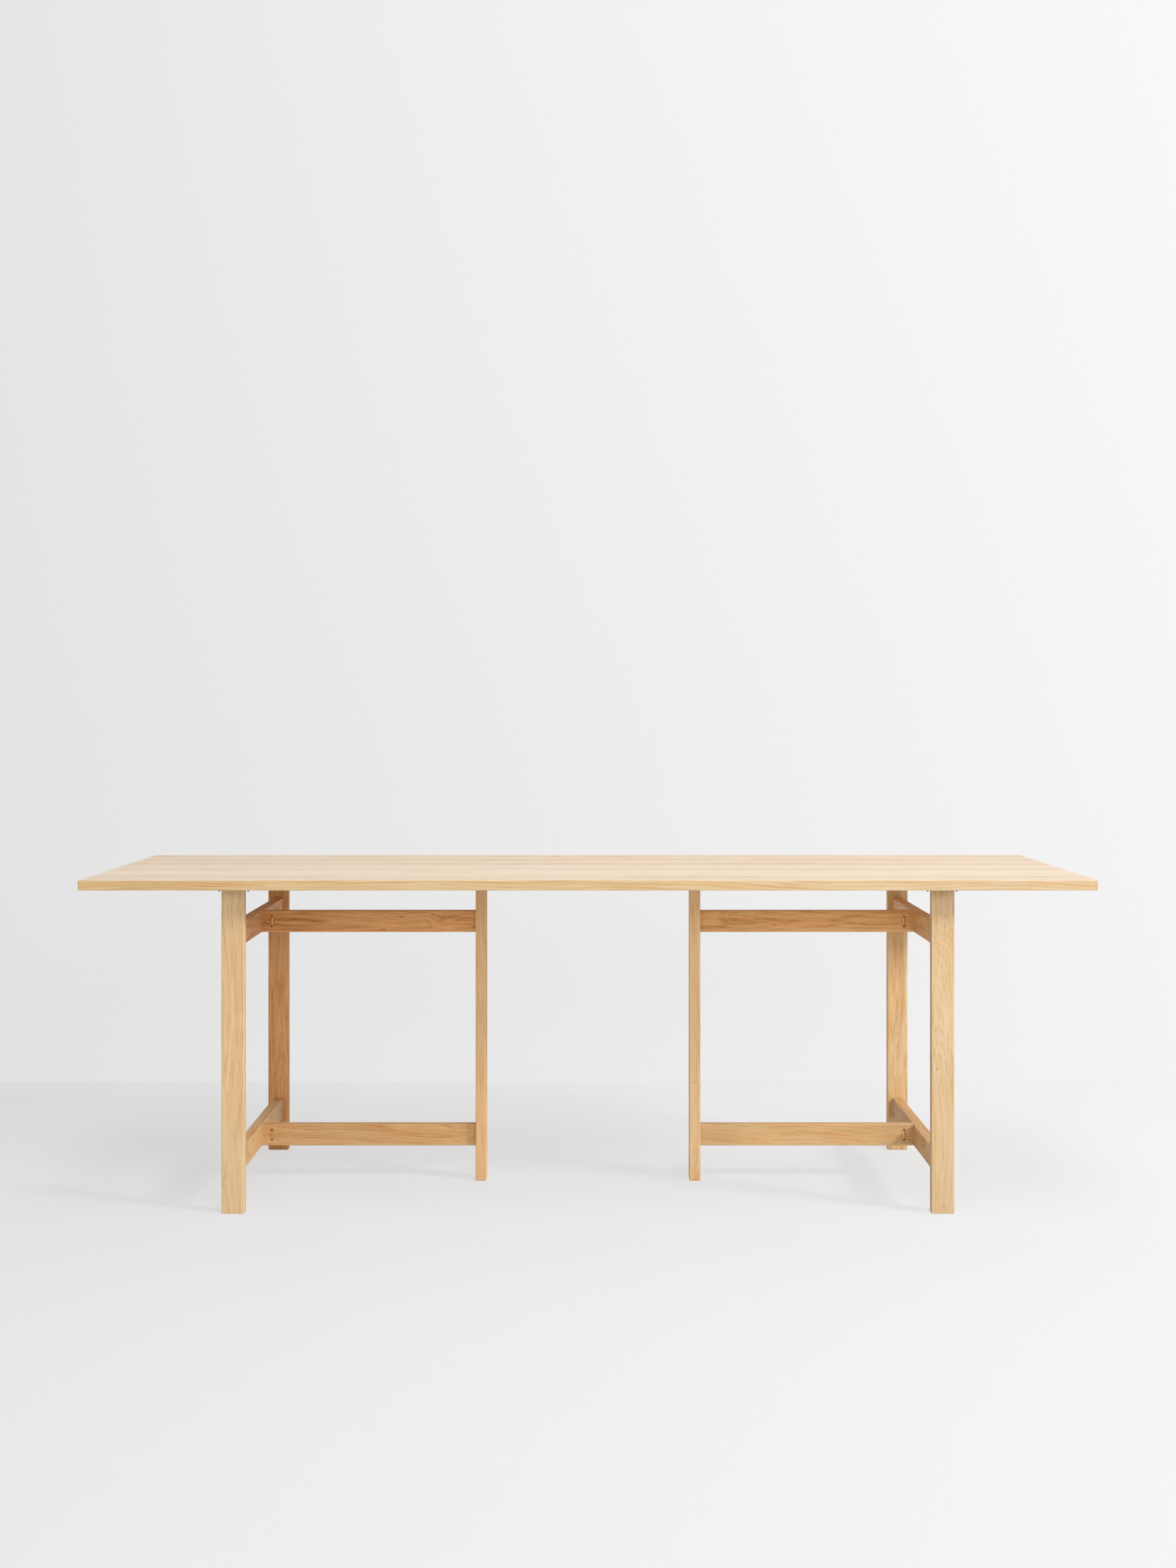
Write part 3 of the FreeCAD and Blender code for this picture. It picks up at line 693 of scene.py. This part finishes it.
socketBolt = {"shankRadius": 2.5, "headHeight": 5.0, "rimRound": 0.5, "socketFlat": 2.0, "socketDepth": 2.5,
              "socketLead": 0.25, "socketSides": 6, "tipChamfer": 0.6}
low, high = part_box("right_joint_bolts")
headRadius, boltLength = (high.y - low.y) / 2 / mm, (high.x - low.x) / mm
flat, depth, lead = socketBolt["socketFlat"], socketBolt["socketDepth"], socketBolt["socketLead"]
underHead, shank, tip = -socketBolt["headHeight"], socketBolt["shankRadius"], socketBolt["tipChamfer"]
sides = socketBolt["socketSides"]
rim = roundedRows(headRadius, 0, socketBolt["rimRound"], 1)[::-1]
bolt = turnedPart("bolt", [(flat, -depth, sides), (flat, -lead, sides), (flat + lead, 0, 0), *rim,
                           (headRadius, underHead, 0), (shank, underHead, 0),
                           (shank, tip - boltLength, 0), (shank - tip, -boltLength, 0)], turn=alongX)
makeSet("socket_bolts", jointTree,
        {"Part": bolt, "Finish": steel, "Reach": high.x, "Bore": 0.0, **jointLevels},
        "trestles", ["left_joint_bolts", "right_joint_bolts"])

steelWasher = {"holeRadius": 2.7, "edgeRound": 0.15}
low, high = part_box("right_bolt_washers")
outer, thick = (high.y - low.y) / 2 / mm, (high.x - low.x) / mm
hole, ease = steelWasher["holeRadius"], steelWasher["edgeRound"]
washer = turnedPart("washer", [(hole, ease - thick, 0), (hole, -ease, 0), (hole + ease, 0, 0),
                               (outer - ease, 0, 0), (outer, -ease, 0), (outer, ease - thick, 0),
                               (outer - ease, -thick, 0), (hole + ease, -thick, 0)],
                    hollow=True, turn=alongX)
makeSet("steel_washers", jointTree,
        {"Part": washer, "Finish": steel, "Reach": high.x, "Bore": 0.0, **jointLevels},
        "trestles", ["left_bolt_washers", "right_bolt_washers"])

topPin = {"tipRound": 1.0}
low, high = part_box("locating_pins")
legLow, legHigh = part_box("right_front_leg")
legX, legY = (legLow.x + legHigh.x) / 2, -(legLow.y + legHigh.y) / 2
pinRadius = (high.y - legY) / mm
pinLength = (high.z - low.z) / mm
tipRows = roundedRows(pinRadius, 0, topPin["tipRound"], -1)[::-1]
pin = turnedPart("pin", [*tipRows, (pinRadius, pinLength, 0)])
makeSet("steel_top_pins", pinTree,
        {"Part": pin, "Finish": steel, "Leg span X": 2 * legX, "Leg span Y": 2 * legY,
         "Pin gap": 2 * (high.x - legX - pinRadius * mm), "Level": low.z},
        "table_top", ["locating_pins"])

# Stage: a pale floor, and a pale wall that shows from its front only. Where either is seen directly,
# a glow lifts it, which pales from left to right over fadeM on each side of the middle.
studio = {"reachM": 15.0, "wallYM": 1.283, "fadeM": 1.75, "roomColour": "#e8e8e8", "roomStrength": 0.05}
stagePaints = {
    "floor": {"colour": "#d0d1d2", "glow": ("#e7e7e7", "#f9f9f9"), "glowShare": 0.7, "oneSided": False},
    "wall": {"colour": "#dadada", "glow": ("#e6e6e6", "#f5f5f5"), "glowShare": 0.85, "oneSided": True},
}


def seenDirectly(tree):  # 1 where the eye, a reflection or glass looks at the stage
    path = addNode(tree, "ShaderNodeLightPath").outputs
    first = addNode(tree, "ShaderNodeMath", {0: path["Is Camera Ray"], 1: path["Is Glossy Ray"]},
                    operation="ADD")
    return addNode(tree, "ShaderNodeMath", {0: first.outputs[0], 1: path["Is Transmission Ray"]},
                   operation="ADD", use_clamp=True).outputs[0]


# Emulsion paint, rolled: a flat matt sheet with no shine
def stageSheet(name, corners):
    paint = stagePaints[name]
    material, tree = newMaterial("matt_paint_" + name)
    matt = addNode(tree, "ShaderNodeBsdfDiffuse", {"Color": linear(paint["colour"])})
    coords = addNode(tree, "ShaderNodeTexCoord").outputs["Object"]
    across = addNode(tree, "ShaderNodeSeparateXYZ", {0: coords}).outputs["X"]
    fade = addNode(tree, "ShaderNodeMapRange",
                   {"Value": across, "From Min": -studio["fadeM"], "From Max": studio["fadeM"]})
    left, right = (linear(tone) for tone in paint["glow"])
    paling = addNode(tree, "ShaderNodeMix", {0: fade.outputs[0], 6: left, 7: right}, data_type="RGBA")
    glow = addNode(tree, "ShaderNodeEmission", {"Color": paling.outputs[2]})
    share = addNode(tree, "ShaderNodeMath", {0: seenDirectly(tree), 1: paint["glowShare"]},
                    operation="MULTIPLY")
    surface = addNode(tree, "ShaderNodeMixShader",
                      {0: share.outputs[0], 1: matt.outputs[0], 2: glow.outputs[0]})
    if paint["oneSided"]:
        face = addNode(tree, "ShaderNodeNewGeometry")
        clear = addNode(tree, "ShaderNodeBsdfTransparent")
        surface = addNode(tree, "ShaderNodeMixShader",
                          {0: face.outputs["Backfacing"], 1: surface.outputs[0], 2: clear.outputs[0]})
    addNode(tree, "ShaderNodeOutputMaterial", {"Surface": surface.outputs[0]})
    mesh = bpy.data.meshes.new(name)
    mesh.from_pydata(corners, [], [range(len(corners))])
    mesh.materials.append(material)
    sheet = bpy.data.objects.new(name, mesh)
    scene.collection.objects.link(sheet)


reach, wallY = studio["reachM"], studio["wallYM"]
stageSheet("floor", [(-reach, -reach, 0), (reach, -reach, 0), (reach, reach, 0), (-reach, reach, 0)])
stageSheet("wall", [(-reach, wallY, 0), (reach, wallY, 0), (reach, wallY, reach), (-reach, wallY, reach)])

# Light: a dim room, a key from the right, soft lamps overhead and high in front, and two low ones
lamps = {
    "key": {"azimuth": 60, "height": 30, "awayM": 9.0, "watts": 500, "sizeM": 1.8},
    "front": {"azimuth": 0, "height": 60, "awayM": 6.0, "watts": 96, "sizeM": 2.6},
    "overhead": {"azimuth": 20, "height": 78, "awayM": 6.0, "watts": 94, "sizeM": 2.6},
    "low": {"azimuth": 14, "height": 20, "awayM": 7.0, "watts": 137, "sizeM": 3.0},
    "left": {"azimuth": -30, "height": 8, "awayM": 7.0, "watts": 50, "sizeM": 3.0},
}
aim = Vector((0, 0, 0.4))
for name, lamp in lamps.items():
    data = bpy.data.lights.new(name, "AREA")
    data.shape, data.size, data.energy = "DISK", lamp["sizeM"], lamp["watts"]
    light = bpy.data.objects.new(name, data)
    light.visible_glossy = False  # polished faces mirror the pale room, not the lamps
    around, up = math.radians(lamp["azimuth"]), math.radians(lamp["height"])
    toward = Vector((math.sin(around) * math.cos(up), -math.cos(around) * math.cos(up), math.sin(up)))
    light.location = aim + lamp["awayM"] * toward
    light.rotation_euler = (aim - light.location).to_track_quat("-Z", "Y").to_euler()
    scene.collection.objects.link(light)
world = bpy.data.worlds.new("soft_room")
world.use_nodes = True
room = world.node_tree
room.nodes.clear()
lit = addNode(room, "ShaderNodeBackground", {"Color": (1, 1, 1, 1), "Strength": studio["roomStrength"]})
shown = addNode(room, "ShaderNodeBackground", {"Color": linear(studio["roomColour"]), "Strength": 1.0})
either = addNode(room, "ShaderNodeMixShader",
                 {0: seenDirectly(room), 1: lit.outputs[0], 2: shown.outputs[0]})
addNode(room, "ShaderNodeOutputWorld", {"Surface": either.outputs[0]})
scene.world = world
print("stage and lamps set")

# Camera: level, in front of the table's middle, with the frame slid down
view = {"placeM": (0.0, -4.869, 1.0895), "focalPx": 2925.0, "horizonPx": 1008.0, "middlePx": 829.45,
        "framePx": (1659, 2212), "sensorMm": 36.0}
cameraData = bpy.data.cameras.new("camera")
longSide = max(view["framePx"])
cameraData.sensor_width = view["sensorMm"]
cameraData.lens = view["sensorMm"] * view["focalPx"] / longSide
cameraData.shift_x = (view["framePx"][0] / 2 - view["middlePx"]) / longSide
cameraData.shift_y = (view["horizonPx"] - view["framePx"][1] / 2) / longSide
camera = bpy.data.objects.new("camera", cameraData)
camera.location = view["placeM"]
camera.rotation_euler = (math.radians(90), 0, 0)
scene.collection.objects.link(camera)
scene.camera = camera
scene.view_settings.view_transform = "Standard"
print("camera set")
